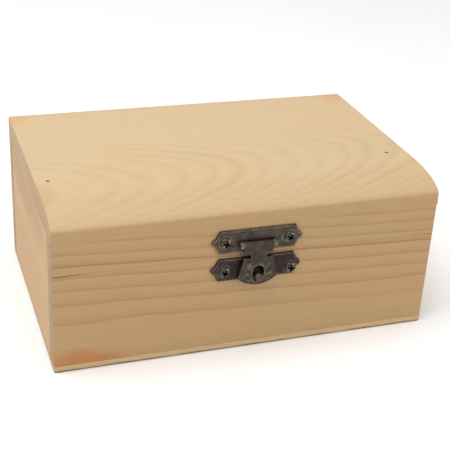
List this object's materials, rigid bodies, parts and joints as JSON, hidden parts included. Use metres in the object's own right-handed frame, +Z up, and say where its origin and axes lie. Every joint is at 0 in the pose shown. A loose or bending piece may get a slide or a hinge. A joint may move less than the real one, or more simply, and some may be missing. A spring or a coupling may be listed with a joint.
{
  "type": "hinged wooden box",
  "caption": "Small unfinished pine box with a flat lid that is rounded along its front edge, hinged at the back and closed by a dark bronze hasp over a stud",
  "frame": {"origin": "the middle of the underside of the box", "axes": "+X to the right along the box, +Y from the front (hasp side) to the back (hinge side), +Z up"},
  "size_m": [0.15, 0.1067, 0.063],
  "materials": {
    "pine": "bare sanded pine, soft satin",
    "thin_panel": "bare thin panel, matte",
    "antique_bronze": "antique bronze plating, dark brown, semi-gloss",
    "worn_bronze": "antique bronze rubbed bright",
    "brad_steel": "dull steel"
  },
  "bodies": {
    "base": {"base_front_board": "pine", "base_back_board": "pine", "base_left_board": "pine", "base_right_board": "pine", "bottom_panel": "thin_panel", "bottom_nails": "brad_steel", "hasp_lower_plate": "antique_bronze", "hasp_stud": "worn_bronze", "hasp_lower_screws": "antique_bronze", "hinge_left_base_leaf": "antique_bronze", "hinge_left_pin": "antique_bronze", "hinge_left_base_screws": "antique_bronze", "hinge_right_base_leaf": "antique_bronze", "hinge_right_pin": "antique_bronze", "hinge_right_base_screws": "antique_bronze"},
    "lid": {"lid_top_board": "pine", "lid_front_rail": "pine", "lid_back_rail": "pine", "lid_left_rail": "pine", "lid_right_rail": "pine", "lid_nails": "brad_steel", "hasp_upper_plate": "antique_bronze", "hasp_pin": "antique_bronze", "hasp_upper_screws": "antique_bronze", "hinge_left_lid_leaf": "antique_bronze", "hinge_left_lid_screws": "antique_bronze", "hinge_right_lid_leaf": "antique_bronze", "hinge_right_lid_screws": "antique_bronze"},
    "tongue": {"hasp_tongue": "antique_bronze"}
  },
  "joints": [
    {"name": "lid_hinge", "type": "hinge", "parent": "base", "child": "lid", "pos_m": [0, 0.0504, 0.0404], "axis": [-1, 0, 0], "range_deg": [0, 160]},
    {"name": "tongue_hinge", "type": "hinge", "parent": "lid", "child": "tongue", "pos_m": [0.001, -0.05065, 0.0454], "axis": [-1, 0, 0], "range_deg": [0, 140]}
  ]
}
